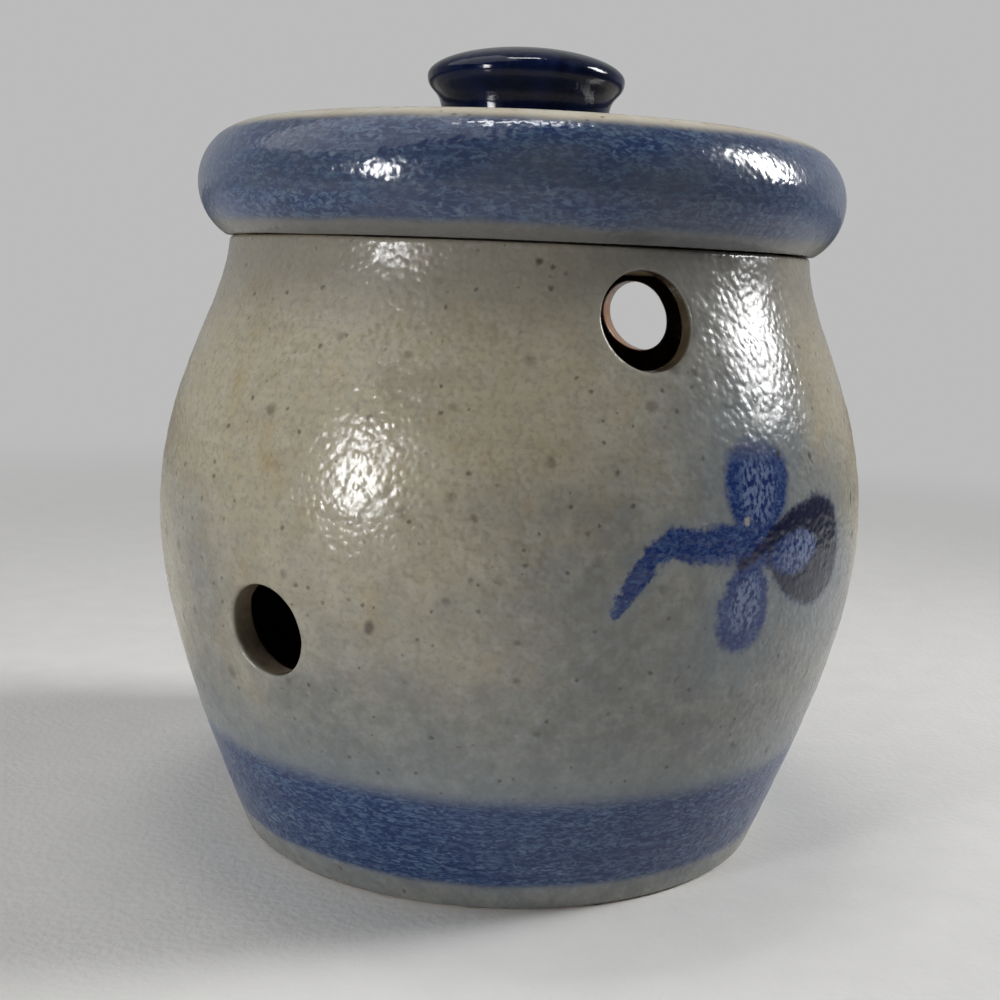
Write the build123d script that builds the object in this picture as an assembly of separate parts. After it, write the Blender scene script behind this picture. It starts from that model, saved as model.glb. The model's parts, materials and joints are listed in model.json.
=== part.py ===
from build123d import *
from math import cos, pi, radians, sin
import os

# A garlic keeper: a wheel-thrown stoneware jar with six air vents, and a lift-off lid with its knob.
#
# Sizes are in millimetres.  +Z is the axis that every piece was thrown on, and the origin is the
# middle of the foot, on the table.  A bearing is an angle seen from above that starts at the front
# (-Y) and turns towards +X.

# --- jar: the outside of the thrown wall, from the foot up ---
JAR_HEIGHT = 99.0        # table to the rim that carries the lid
FOOT_RADIUS = 45.6
FLARE_RADIUS = 55.8      # where the straight lower wall turns into the belly
FLARE_HEIGHT = 29.0
BELLY_RADIUS = 60.0      # the widest place
BELLY_HEIGHT = 53.5
SHOULDER_RADIUS = 55.4
SHOULDER_DROP = 20.5     # below the rim
NECK_RADIUS = 49.5
NECK_DROP = 4.5          # below the rim
RIM_RADIUS = 48.6
FOOT_LEAN = 0.38         # the wall's lean outwards at the foot, mm per mm of height
RIM_LEAN = 0.20          # the wall's lean inwards at the rim

# --- jar: inside, underneath and the edges ---
WALL = 4.0               # at the rim, the shoulder and the belly
HEEL_WALL = 5.5          # lower down, where the clay was left thicker
FLOOR = 6.0              # table to the inside of the floor
FLOOR_CORNER = 9.0       # inside corner between floor and wall
FOOT_RING = 7.0          # width of the ring that the jar stands on
FOOT_HOLLOW = 1.5        # depth of the trimmed hollow inside that ring
FOOT_EDGE = 1.0
RIM_EDGE = 0.8

# --- air vents: cut by hand with a round cutter, so no two stand quite alike ---
VENT_RADIUS = 6.85
VENT_EDGE = 0.6          # edges softened with a sponge
UPPER_VENTS = ((21.0, 10.2), (150.0, 12.0), (265.0, 11.0))    # bearing, drop below the rim
LOWER_VENTS = ((-36.0, 42.4), (85.0, 41.6), (207.0, 43.0))    # bearing, height above the table

# --- lid: a hollow crown with a rolled edge, and a flange that drops into the mouth ---
LID_OVERHANG = 0.7       # lid's edge beyond the rim
LID_BULGE = 5.3          # rolled edge beyond the rim, at its widest
LID_BULGE_HEIGHT = 9.2   # above the rim
CROWN_INSET = 1.7        # where the roll meets the crown, in from the rim's radius
CROWN_HEIGHT = 17.9      # above the rim
CROWN_RISE = 1.8         # the crown's slope, from the roll up to the knob
CROWN_BLEND = 9.0        # radius that eases the roll into the crown
LID_WALL = 4.5
LID_EDGE = 0.6
LID_PLAY = 1.0           # radial play of the flange in the mouth
FLANGE_WALL = 3.4
FLANGE_DEPTH = 4.0
FLANGE_EDGE = 0.7

# --- knob: a thrown button, luted to the flat middle of the crown ---
KNOB_RADIUS = 16.6
KNOB_WAIST_RADIUS = 14.1
KNOB_FOOT_RADIUS = 15.0
KNOB_WAIST_HEIGHT = 1.6  # above the crown
KNOB_EQUATOR_HEIGHT = 8.0
KNOB_HEIGHT = 12.8
KNOB_UNDERCUT = 4.6      # how far the waist runs straight up before it flares
KNOB_RIM = 2.75          # how far the rim runs straight, above and below its widest
KNOB_DOME = 8.2          # how far out the top stays level
KNOB_LANDING = 1.5       # flat of the crown beyond the knob's foot

MOUTH_RADIUS = RIM_RADIUS - WALL
FLANGE_RADIUS = MOUTH_RADIUS - LID_PLAY
CROWN_TOP = JAR_HEIGHT + CROWN_HEIGHT + CROWN_RISE


def revolve_section(*edges):
    """Turn a closed half-section, drawn as (radius, height), once round the axis."""
    return revolve(Plane.XZ * make_face(edges), Axis.Z)


def edges_at(solid, radius, height):
    """The round edges of a turned solid at one radius and height."""
    def is_there(edge):
        top = edge.bounding_box().max
        return abs(top.Z - height) < 0.01 and abs(top.X - radius) < 0.01
    return solid.edges().filter_by(GeomType.CIRCLE).filter_by(is_there)


def wall_curve(foot, flare, belly, shoulder, neck, rim):
    """The wall's profile from foot to rim, leaning out at the foot and in at the rim."""
    return Spline(foot, flare, belly, shoulder, neck, rim,
                  tangents=((FOOT_LEAN, 1), (-RIM_LEAN, 1)))


def jar_blank():
    """The thrown and trimmed jar, before its vents are cut."""
    flare = (FLARE_RADIUS, FLARE_HEIGHT)
    belly = (BELLY_RADIUS, BELLY_HEIGHT)
    shoulder = (SHOULDER_RADIUS, JAR_HEIGHT - SHOULDER_DROP)
    neck = (NECK_RADIUS, JAR_HEIGHT - NECK_DROP)
    rim = (RIM_RADIUS, JAR_HEIGHT)
    foot_inside = FOOT_RADIUS + FLOOR * FOOT_LEAN - HEEL_WALL

    outside = wall_curve((FOOT_RADIUS, 0), flare, belly, shoulder, neck, rim)
    inside = wall_curve(
        (foot_inside, FLOOR),
        (FLARE_RADIUS - HEEL_WALL, FLARE_HEIGHT),
        *((radius - WALL, height) for radius, height in (belly, shoulder, neck, rim)),
    )
    ring_inside = FOOT_RADIUS - FOOT_RING
    underneath = Polyline(
        (0, FOOT_HOLLOW), (ring_inside - FOOT_HOLLOW, FOOT_HOLLOW), (ring_inside, 0), (FOOT_RADIUS, 0))
    rim_flat = Line(rim, (MOUTH_RADIUS, JAR_HEIGHT))
    floor_and_axis = Polyline((foot_inside, FLOOR), (0, FLOOR), (0, FOOT_HOLLOW))
    jar = revolve_section(*underneath.edges(), outside, rim_flat, inside, *floor_and_axis.edges())

    jar = fillet(edges_at(jar, foot_inside, FLOOR), FLOOR_CORNER)
    jar = fillet(edges_at(jar, FOOT_RADIUS, 0), FOOT_EDGE)
    return fillet(edges_at(jar, RIM_RADIUS, JAR_HEIGHT) + edges_at(jar, MOUTH_RADIUS, JAR_HEIGHT), RIM_EDGE)


def vent_cutter(bearing, height):
    """A round bar that runs from the axis out through the wall at one bearing."""
    outwards = (sin(radians(bearing)), -cos(radians(bearing)), 0)
    bar = Cylinder(VENT_RADIUS, BELLY_RADIUS + WALL, align=(Align.CENTER, Align.CENTER, Align.MIN))
    return Plane(origin=(0, 0, height), z_dir=outwards) * bar


def make_jar_body():
    """The jar with its vents cut and their edges softened."""
    jar = jar_blank()
    for bearing, drop in UPPER_VENTS:
        jar -= vent_cutter(bearing, JAR_HEIGHT - drop)
    for bearing, height in LOWER_VENTS:
        jar -= vent_cutter(bearing, height)
    around = 2 * pi * VENT_RADIUS
    vent_edges = jar.edges().filter_by(lambda edge: edge.is_closed and abs(edge.length / around - 1) < 0.1)
    return fillet(vent_edges, VENT_EDGE)


def make_lid():
    """The lid: flange, seat, rolled edge and crown, hollow inside."""
    seat = JAR_HEIGHT
    edge_radius = RIM_RADIUS + LID_OVERHANG
    bulge = (RIM_RADIUS + LID_BULGE, seat + LID_BULGE_HEIGHT)
    roll_top = (RIM_RADIUS - CROWN_INSET, seat + CROWN_HEIGHT)
    landing = (KNOB_FOOT_RADIUS + KNOB_LANDING, CROWN_TOP)
    flange_inside = FLANGE_RADIUS - FLANGE_WALL
    hollow_top = (flange_inside + LID_WALL, roll_top[1] - LID_WALL)
    ceiling = (landing[0], CROWN_TOP - LID_WALL)

    roll = ThreePointArc((edge_radius, seat), bulge, roll_top)
    hollow_side = ThreePointArc((flange_inside, seat), (bulge[0] - LID_WALL, bulge[1]), hollow_top)
    lid = revolve_section(
        Line((flange_inside, seat), (flange_inside, seat - FLANGE_DEPTH)),
        Line((flange_inside, seat - FLANGE_DEPTH), (FLANGE_RADIUS, seat - FLANGE_DEPTH)),
        Line((FLANGE_RADIUS, seat - FLANGE_DEPTH), (FLANGE_RADIUS, seat)),
        Line((FLANGE_RADIUS, seat), (edge_radius, seat)),
        roll,
        Line(roll_top, landing),
        Line(landing, (0, CROWN_TOP)),
        Line((0, CROWN_TOP), (0, ceiling[1])),
        Line((0, ceiling[1]), ceiling),
        Line(ceiling, hollow_top),
        hollow_side,
    )
    lid = fillet(edges_at(lid, *roll_top), CROWN_BLEND)
    lid = fillet(edges_at(lid, edge_radius, seat), LID_EDGE)
    lip_height = seat - FLANGE_DEPTH
    lip = edges_at(lid, FLANGE_RADIUS, lip_height) + edges_at(lid, flange_inside, lip_height)
    return fillet(lip, FLANGE_EDGE)


def make_knob():
    """The knob: a flared foot, a waist and a domed button."""
    foot = (KNOB_FOOT_RADIUS, CROWN_TOP)
    waist_height = CROWN_TOP + KNOB_WAIST_HEIGHT
    equator_height = CROWN_TOP + KNOB_EQUATOR_HEIGHT
    top = (0, CROWN_TOP + KNOB_HEIGHT)
    waist = (KNOB_WAIST_RADIUS, waist_height)
    equator = (KNOB_RADIUS, equator_height)
    flare = Bezier(foot, (KNOB_WAIST_RADIUS, CROWN_TOP), waist)
    undercut = Bezier(
        waist, (KNOB_WAIST_RADIUS, waist_height + KNOB_UNDERCUT),
        (KNOB_RADIUS, equator_height - KNOB_RIM), equator)
    dome = Bezier(equator, (KNOB_RADIUS, equator_height + KNOB_RIM), (KNOB_DOME, top[1]), top)
    return revolve_section(flare, undercut, dome, Line(top, (0, CROWN_TOP)), Line((0, CROWN_TOP), foot))


def main():
    """Write each piece to parts/NAME.step."""
    pieces = {"jar_body": make_jar_body(), "lid": make_lid(), "knob": make_knob()}
    os.makedirs("parts", exist_ok=True)
    for name, piece in pieces.items():
        piece.label = name
        export_step(piece, f"parts/{name}.step")


if __name__ == "__main__":
    main()
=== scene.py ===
# %% [markdown]
# # A salt-glazed garlic keeper
#
# This lesson dresses a small stoneware pot: a thrown jar with six air vents, a hollow lid that lifts
# off, and a knob that was luted to the lid and fired with it.  The sizes are already settled in the CAD
# model, the frame, so the first step is to load it.  Everything that follows is measured from that
# frame, in metres, with +Z up and the origin in the middle of the foot.

# %% Load the frame
import bpy
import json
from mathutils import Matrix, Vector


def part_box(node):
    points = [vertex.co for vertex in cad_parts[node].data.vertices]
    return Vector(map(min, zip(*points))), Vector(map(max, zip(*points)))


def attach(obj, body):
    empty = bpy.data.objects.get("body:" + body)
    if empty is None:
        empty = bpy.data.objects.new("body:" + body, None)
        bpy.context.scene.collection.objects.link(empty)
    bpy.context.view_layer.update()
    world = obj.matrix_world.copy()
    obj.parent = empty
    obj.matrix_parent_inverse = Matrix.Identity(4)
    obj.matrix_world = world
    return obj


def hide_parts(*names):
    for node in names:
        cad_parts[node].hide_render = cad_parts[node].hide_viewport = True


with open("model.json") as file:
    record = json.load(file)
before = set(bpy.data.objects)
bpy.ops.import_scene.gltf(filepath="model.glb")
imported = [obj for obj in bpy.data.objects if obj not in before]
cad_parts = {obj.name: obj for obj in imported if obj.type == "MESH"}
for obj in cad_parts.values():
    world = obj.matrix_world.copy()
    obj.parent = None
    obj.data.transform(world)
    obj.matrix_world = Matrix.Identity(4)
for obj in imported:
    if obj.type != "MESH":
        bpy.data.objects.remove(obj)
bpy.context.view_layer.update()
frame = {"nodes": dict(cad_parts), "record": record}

# %% Open the toolbox
import json
from math import asin, atan, atan2, cos, degrees, hypot, radians, sin, tau

import bmesh
import numpy as np
from mathutils import Matrix, Vector

MM = 0.001
TURN_STEPS = 240          # steps of every turn on the wheel: facets of 1.6 mm on the belly

print("one step of the wheel is", 360 / TURN_STEPS, "degrees")

# %% [markdown]
# ## Directions round a pot
#
# A pot has no left or right, so a place on it is given by its bearing and its height.  A bearing is an
# angle seen from above: it starts at the front, -Y, and grows towards +X.  One small function turns a
# bearing into a direction, and it serves the camera's lamps, the measuring and the vents alike.

# %% Bearings


def in_direction(bearing, elevation=0.0):
    """The unit vector that points at a bearing and an elevation, both in degrees."""
    turn, rise = radians(bearing), radians(elevation)
    return Vector((sin(turn) * cos(rise), -cos(turn) * cos(rise), sin(rise)))


def bearing_of(point):
    """The bearing of a point, in degrees from -180 to 180."""
    return degrees(atan2(point[0], -point[1]))


print("bearing 90 points along", tuple(round(part, 3) for part in in_direction(90)))

# %% [markdown]
# ## Camera
#
# The pot is seen from very near, 24 cm from its axis and a little below the height of the lid's edge,
# looking slightly down.  So near a lens spreads the sides and hides the far ones, and only the right
# distance shows the belly, the rim and the knob in their true proportions to each other.  The camera is
# placed with a matrix: the turns are written from the world inwards, so the last one, the roll, turns
# the picture itself.

# %% Place the camera
CAMERA_DISTANCE = 238 * MM
CAMERA_HEIGHT = 94.8 * MM
CAMERA_TILT = 80.51       # from straight down; 90 would be level
CAMERA_SWING = 0.38
CAMERA_ROLL = 2.31
LENS = 49.17              # on a sensor 36 mm wide

camera_data = bpy.data.cameras.new("camera")
camera_data.lens = LENS
camera_data.sensor_width = 36
camera_data.clip_start = 10 * MM
camera = bpy.data.objects.new("camera", camera_data)
camera.matrix_world = (
    Matrix.Translation((0, -CAMERA_DISTANCE, CAMERA_HEIGHT))
    @ Matrix.Rotation(radians(CAMERA_SWING), 4, "Z")
    @ Matrix.Rotation(radians(CAMERA_TILT), 4, "X")
    @ Matrix.Rotation(radians(CAMERA_ROLL), 4, "Z")
)
bpy.context.scene.collection.objects.link(camera)
bpy.context.scene.camera = camera
bpy.context.scene.view_settings.view_transform = "Standard"
print("camera at", tuple(round(part, 4) for part in camera.matrix_world.translation))

# %% [markdown]
# ## Light
#
# Salt glaze is judged by its highlights: the orange-peel skin breaks the picture of a lamp into flecks.
# So the lamps are soft boxes with edges, not an even glow.  A narrow tall box at the front left and a
# squarer one at the right draw the two bright columns, and a strip overhead lights the lid's roll and
# the knob.  Narrow boxes give clear flecks but little light, so a broad soft one hangs high on the
# left.  Both boxes carry a grid that narrows their spread: without it they would light the floor
# beneath them, and the glaze would mirror that bright patch as a milky veil.  The front stays dimmer
# than the sides, which is what gives the belly its roundness.  None of the lamps is seen by the camera,
# so the pot can be looked at from any side.

# %% Hang the lamps
LIT_POINT = Vector((0, 0, 62 * MM))


def soft_box(name, bearing, elevation, distance, width, height, power, spread=180):
    """A rectangular area lamp that looks at the middle of the pot.

    Angles are in degrees, lengths in metres and the power in watts.  A grid narrows the spread.
    """
    data = bpy.data.lights.new(name, "AREA")
    data.shape = "RECTANGLE"
    data.size, data.size_y = width, height
    data.energy = power
    data.spread = radians(spread)
    outwards = in_direction(bearing, elevation)
    lamp = bpy.data.objects.new(name, data)
    lamp.location = LIT_POINT + outwards * distance
    lamp.rotation_euler = outwards.to_track_quat("Z", "Y").to_euler()
    lamp.visible_camera = False
    bpy.context.scene.collection.objects.link(lamp)
    return lamp


lamps = [             # name, bearing, elevation, distance, width, height, power, spread
    soft_box("left_box", -46, 10.5, 0.75, 0.11, 0.24, 0.64, 90),
    soft_box("left_sky", -84, 56, 0.80, 0.80, 0.80, 2.2),
    soft_box("right_box", 97, 32, 0.70, 0.17, 0.32, 1.12, 90),
    soft_box("top_strip", -160, 86, 0.80, 0.24, 0.07, 1.0),
]
print("lamps:", [lamp.name for lamp in lamps])

# %% [markdown]
# ## Surroundings
#
# The room in front of the pot is dim, and behind it hangs a pale backdrop.  So the world's glow grows
# from front to back, and the glaze mirrors the backdrop at a glancing angle: that is why the pot's
# outline looks paler than its middle.  The camera sees one plain grey all round.  Light Path tells
# camera, mirror and lighting rays apart, so three tones are chosen freely: the light that the backdrop
# throws on the pot, the glow that the glaze mirrors and the grey that the camera sees.

# %% Make the world
GLOW_AHEAD = 0.030
GLOW_BEHIND = 0.18        # as light on the pot
GLOW_MIRRORED = 0.31      # as the glaze mirrors it
BACKDROP_GREY = 0.50      # as the camera sees it

world = bpy.data.worlds.new("studio")
bpy.context.scene.world = world
world.use_nodes = True
studio = world.node_tree


def world_mix(share, first, second, start=0.0, end=1.0):
    """First where the share is at its start, second at its end; each is a number or an output."""
    node = studio.nodes.new("ShaderNodeMapRange")
    for name, value in (("Value", share), ("From Min", start), ("From Max", end),
                        ("To Min", first), ("To Max", second)):
        if isinstance(value, bpy.types.NodeSocket):
            studio.links.new(value, node.inputs[name])
        else:
            node.inputs[name].default_value = value
    return node.outputs["Result"]


who_looks = studio.nodes.new("ShaderNodeLightPath").outputs
compass = studio.nodes.new("ShaderNodeSeparateXYZ")
studio.links.new(studio.nodes.new("ShaderNodeTexCoord").outputs["Generated"], compass.inputs["Vector"])
mirrored = world_mix(who_looks["Is Transmission Ray"], who_looks["Is Glossy Ray"], 1.0)
pale = world_mix(mirrored, GLOW_BEHIND, GLOW_MIRRORED)
around = world_mix(compass.outputs["Y"], GLOW_AHEAD, pale, -0.2, 0.8)
level = world_mix(who_looks["Is Camera Ray"], around, BACKDROP_GREY)
studio.links.new(level, studio.nodes["Background"].inputs["Color"])
print("glow from", GLOW_AHEAD, "ahead to", GLOW_BEHIND, "behind, mirrored", GLOW_MIRRORED)

# %% [markdown]
# ## A recipe book for finishes
#
# Every finish here is a tree of shader nodes.  Written out one by one, such trees bury their idea under
# the wiring, so a small class does the wiring: `put` adds a node and fills its sockets, with a number,
# a colour or another node's output.  The rest are the few operations that glazes need: arithmetic, a
# soft step between two values, a blend of two colours, a tint laid over a colour, noise of a stated
# grain and cells of a stated size.

# %% Mix finishes with nodes


def tone(red, green, blue):
    """A colour from 0 to 255 per channel, as a linear colour for a socket."""
    shares = (part / 255 for part in (red, green, blue))
    return tuple(s / 12.92 if s <= 0.04045 else ((s + 0.055) / 1.055) ** 2.4 for s in shares) + (1.0,)


class Finish:
    """A material that is mixed node by node, on the piece's own Object coordinates."""

    def __init__(self, name):
        self.material = bpy.data.materials.new(name)
        self.material.use_nodes = True
        self.tree = self.material.node_tree
        self.shader = self.tree.nodes["Principled BSDF"]
        self.place = self.put("TexCoord", out="Object")
        x, y, self.height = self.put("SeparateXYZ", out=("X", "Y", "Z"), Vector=self.place)
        self.radius = self.span(x, y)
        self.bearing = self.maths("ARCTAN2", x, self.times(y, -1.0))

    def fill(self, socket, value):
        """Link a socket to an output, or set it to a plain value."""
        if isinstance(value, bpy.types.NodeSocket):
            self.tree.links.new(value, socket)
        else:
            socket.default_value = value

    def put(self, kind, out=0, **settings):
        """Add a node. Settings with a capital are its sockets, the others its options."""
        node = self.tree.nodes.new("ShaderNode" + kind)
        for name, value in settings.items():
            if name[0].islower():
                setattr(node, name, value)
        for name, value in settings.items():
            if name[0].isupper():
                self.fill(node.inputs[name.replace("_", " ")], value)
        if isinstance(out, tuple):
            return [node.outputs[name] for name in out]
        return node.outputs[out]

    def maths(self, operation, *values):
        """One step of arithmetic."""
        node = self.tree.nodes.new("ShaderNodeMath")
        node.operation = operation
        for socket, value in zip(node.inputs, values):
            self.fill(socket, value)
        return node.outputs[0]

    def times(self, first, second):
        """The product of two values."""
        return self.maths("MULTIPLY", first, second)

    def plus(self, first, second):
        """The sum of two values."""
        return self.maths("ADD", first, second)

    def minus(self, first, second):
        """The first value less the second."""
        return self.maths("SUBTRACT", first, second)

    def span(self, across, up):
        """The length of the slope over two sides."""
        return self.maths("SQRT", self.plus(self.times(across, across), self.times(up, up)))

    def step(self, value, start, end, low=0.0, high=1.0):
        """A soft step from low to high while value goes from start to end."""
        return self.put("MapRange", interpolation_type="SMOOTHSTEP", Value=value,
                        From_Min=start, From_Max=end, To_Min=low, To_Max=high)

    def blend(self, share, first, second):
        """The first colour, with a share of the second."""
        node = self.tree.nodes.new("ShaderNodeMix")
        node.data_type = "RGBA"
        for index, value in ((0, share), (6, first), (7, second)):
            self.fill(node.inputs[index], value)
        return node.outputs[2]

    def tinted(self, colour, tint, value, start, end, low=0.0, high=1.0):
        """A colour under a tint, whose share goes from low to high while value goes from start to end."""
        return self.blend(self.step(value, start, end, low, high), colour, tint)

    def stretch(self, across, up):
        """The place, with patterns drawn out by these factors, across and up the pot."""
        return self.put("Mapping", Vector=self.place, Scale=(1 / across, 1 / across, 1 / up))

    def grain(self, size, detail=2.0, place=None, warp=0.0, seed=0.0):
        """Cloudy noise from 0 to 1, with a grain of this size."""
        return self.put("TexNoise", noise_dimensions="4D", Vector=place or self.place, W=seed,
                        Scale=1 / size, Detail=detail, Distortion=warp)

    def sway(self, reach, size, detail, **settings):
        """Noise of this grain that swings by half a reach to either side of zero."""
        return self.times(self.minus(self.grain(size, detail, **settings), 0.5), reach)

    def cells(self, size, out="Distance", place=None, **settings):
        """Irregular cells of this size."""
        return self.put("TexVoronoi", out=out, Vector=place or self.place, Scale=1 / size, **settings)

    def wear(self, colour, roughness, relief, depth, ior=1.5):
        """Give the shader its colour, roughness and bump, with a relief from 0 to 1 of this depth."""
        self.fill(self.shader.inputs["Base Color"], colour)
        self.fill(self.shader.inputs["Roughness"], roughness)
        self.shader.inputs["IOR"].default_value = ior
        bump = self.put("Bump", Strength=1.0, Distance=depth, Height=relief)
        self.fill(self.shader.inputs["Normal"], bump)
        return self.material


print("a mid grey is", tuple(round(part, 3) for part in tone(128, 128, 128)))

# %% [markdown]
# ## Floor
#
# The pot stands on a plain pale surface that keeps its shadow.  The floor is one large disc.  Far from
# the pot, and for the camera alone, it fades into the backdrop's grey, so that no horizon cuts the
# picture.

# %% Lay the floor
FLOOR_RADIUS = 6.0
FADE_START = 0.12
FADE_END = 0.55
CLOTH_GREY = tone(208, 207, 205)
CLOTH_WHITE = tone(221, 220, 218)

bpy.ops.object.select_all(action="DESELECT")
bpy.ops.mesh.primitive_circle_add(vertices=96, radius=FLOOR_RADIUS, fill_type="NGON")
floor = bpy.context.object
floor.name = "floor"

cloth = Finish("pale_floor")
floor_tone = cloth.blend(cloth.grain(9 * MM, 4.0), CLOTH_GREY, CLOTH_WHITE)
cloth.wear(floor_tone, 0.9, cloth.grain(1.4 * MM, 3.0), 0.15 * MM)
far_away = cloth.times(cloth.step(cloth.radius, FADE_START, FADE_END),
                       cloth.put("LightPath", out="Is Camera Ray"))
fog = cloth.put("Emission", Color=(BACKDROP_GREY,) * 3 + (1,))
faded = cloth.tree.nodes.new("ShaderNodeMixShader")
cloth.fill(faded.inputs[0], far_away)
cloth.fill(faded.inputs[1], cloth.shader.outputs[0])
cloth.fill(faded.inputs[2], fog)
cloth.fill(cloth.tree.nodes["Material Output"].inputs["Surface"], faded.outputs[0])
floor.data.materials.append(cloth.material)
print("floor of radius", FLOOR_RADIUS, "m")

# %% [markdown]
# ## Measuring the solids
#
# The CAD pieces are exact but plain: their walls are as smooth as pipes.  A thrown pot has throwing
# lines, softened edges and a little unevenness, so each piece is turned again here, on the outline of
# its solid.  That outline isn't typed in.  It is felt with a probe: a ray that starts at one point of
# the half-section, given as radius and height, and runs until it meets the solid.  All probes run at
# one bearing that is clear of the vents.

# %% Make the probe
CLEAR_BEARING = 50.0
OUTSIDE = 100 * MM        # well outside the pot
ABOVE = 200 * MM          # well above it
RIM_MIDDLE = 46.6 * MM    # radius of the middle of the jar's flat rim


def probe(node, start, towards):
    """From a (radius, height) start, in a (radius, height) direction, to where the solid is met."""
    spoke = in_direction(CLEAR_BEARING)

    def in_space(pair):
        return spoke * pair[0] + Vector((0, 0, pair[1]))

    met, point, _, _ = frame["nodes"][node].ray_cast(in_space(start), in_space(towards).normalized())
    if not met:
        raise RuntimeError(f"the probe from {start} missed {node}")
    return hypot(point.x, point.y), point.z


def spaced(start, end, count):
    """That many evenly spaced values, both ends included."""
    return [float(value) for value in np.linspace(start, end, count)]


def arc(centre, radius, start, end, count):
    """Points on an arc in the half-section, angles in degrees from outwards to up."""
    return [(centre[0] + radius * cos(radians(angle)), centre[1] + radius * sin(radians(angle)))
            for angle in spaced(start, end, count)]


jar_top = probe("jar_body", (RIM_MIDDLE, ABOVE), (0, -1))[1]
print("the jar's rim stands at", round(jar_top / MM, 2), "mm")

# %% [markdown]
# ## The jar's wall
#
# The wall is one smooth curve from foot to rim, outside and inside.  Rays give it at 25 stations, and a
# polynomial through the stations evens out the solid's own tiny facets.  Then come the throwing lines:
# shallow grooves left by the potter's finger, at no even distance.  They only go inwards, so the pot
# doesn't grow.

# %% Read the wall from the solid
FLOOR_INSIDE = probe("jar_body", (0, jar_top / 2), (0, -1))[1]
FLOOR_CORNER = 9 * MM
FOOT_EDGE = 1.0 * MM
RIM_EDGE = 0.8 * MM
THROWING_DEPTH = 0.13 * MM
FIRST_STATION = 1.5 * MM
LAST_STATION = 97.5 * MM
STATIONS = 25
CURVE_DEGREE = 8          # of the polynomial through the stations


def smooth_wall(low, high, start_radius, outwards):
    """A function that gives the wall's radius at any height, fitted through stations on the solid."""
    heights = spaced(low, high, STATIONS)
    radii = [probe("jar_body", (start_radius, height), (outwards, 0))[0] for height in heights]
    curve = np.polynomial.Polynomial.fit(heights, radii, CURVE_DEGREE)
    error = max(abs(curve(height) - radius) for height, radius in zip(heights, radii))
    print("wall curve is within", round(float(error) / MM, 3), "mm of the solid")
    return lambda height: float(curve(height))


outer_wall = smooth_wall(FIRST_STATION, LAST_STATION, OUTSIDE, -1)
inner_wall = smooth_wall(FLOOR_INSIDE + FLOOR_CORNER, LAST_STATION, 0, 1)


def throwing_line(height):
    """How deep the potter's finger went in: three waves that never fall into step."""
    wave = sin(height / (0.92 * MM)) + sin(height / (0.61 * MM) + 1.3) + sin(height / (1.73 * MM) + 0.4)
    return THROWING_DEPTH * (0.5 + wave / 6)


def thrown_outside(height):
    """The outer radius with its throwing lines, a hair inside the solid."""
    return outer_wall(height) - throwing_line(height)


def thrown_inside(height):
    """The inner radius, whose lines are deeper because nobody trims them away."""
    return inner_wall(height) + 2 * throwing_line(height + 31 * MM)


print("belly radius", round(max(outer_wall(z) for z in spaced(0.04, 0.07, 31)) / MM, 2), "mm")

# %% [markdown]
# ## The jar's half-section
#
# The outline runs from the axis under the foot, round the foot ring, up the outside, over the rim, down
# the inside and back to the axis.  Where the wall meets a level surface the edge is rounded: the arc
# starts square to the wall, so its first angle follows the wall's lean.  The inside has its rings at
# the same heights as the outside, because the vents are later cut through both at once.

# %% Draw the half-section of the jar
FOOT_RING = 7 * MM
FOOT_HOLLOW = probe("jar_body", (0, -OUTSIDE), (0, 1))[1]
FLOOR_RIPPLE = 0.25 * MM
FLOOR_RINGS = 5.5 * MM    # from one finger ridge on the floor to the next
WALL_ROWS = 66            # rings of vertices up the outside


def lean_angle(wall, height):
    """The wall's lean from upright, in degrees, positive where it opens upwards."""
    reach = 0.2 * MM
    return degrees(atan((wall(height + reach) - wall(height - reach)) / (2 * reach)))


def edge_centre(wall, height, radius):
    """The centre of an arc that touches the wall from the axis side, at this height."""
    return wall(height) - radius / cos(radians(lean_angle(wall, height)))


def floor_height(radius):
    """The floor inside, with the spiral ridges that fingers leave on the wheel."""
    return FLOOR_INSIDE + FLOOR_RIPPLE * (0.5 + 0.5 * cos(tau * radius / FLOOR_RINGS))


def jar_outline():
    """The jar's half-section, from axis to axis, as (radius, height) pairs."""
    foot_centre = (edge_centre(thrown_outside, FOOT_EDGE, FOOT_EDGE), FOOT_EDGE)
    rim_low = jar_top - RIM_EDGE
    rim_centre = (edge_centre(thrown_outside, rim_low, RIM_EDGE), rim_low)
    inner_lean = lean_angle(inner_wall, rim_low)
    mouth_centre = (inner_wall(rim_low) + RIM_EDGE / cos(radians(inner_lean)), rim_low)
    corner_top = FLOOR_INSIDE + FLOOR_CORNER
    corner_centre = (edge_centre(inner_wall, corner_top, FLOOR_CORNER), corner_top)
    ring_inside = foot_centre[0] + FOOT_EDGE - FOOT_RING
    heights = spaced(FOOT_EDGE * 1.4, rim_low, WALL_ROWS)
    rows_inside = [height for height in reversed(heights) if height > corner_top]

    under = [(radius, FOOT_HOLLOW) for radius in spaced(0, ring_inside - FOOT_HOLLOW, 8)]
    ring = [(radius, 0) for radius in spaced(ring_inside, foot_centre[0], 4)]
    foot_edge = arc(foot_centre, FOOT_EDGE, -90, -lean_angle(outer_wall, FOOT_EDGE), 5)[1:]
    outside = [(thrown_outside(height), height) for height in heights]
    rim_edge = arc(rim_centre, RIM_EDGE, -lean_angle(outer_wall, rim_low), 90, 6)[1:]
    mouth_edge = arc(mouth_centre, RIM_EDGE, 90, 180 - inner_lean, 6)
    inside = [(thrown_inside(height), height) for height in rows_inside[1:]]
    corner = arc(corner_centre, FLOOR_CORNER, -lean_angle(inner_wall, corner_top), -84, 9)
    floor_inside = [(radius, floor_height(radius)) for radius in spaced(corner_centre[0], 0, 26)]
    return under + ring + foot_edge + outside + rim_edge + mouth_edge + inside + corner + floor_inside


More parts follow.
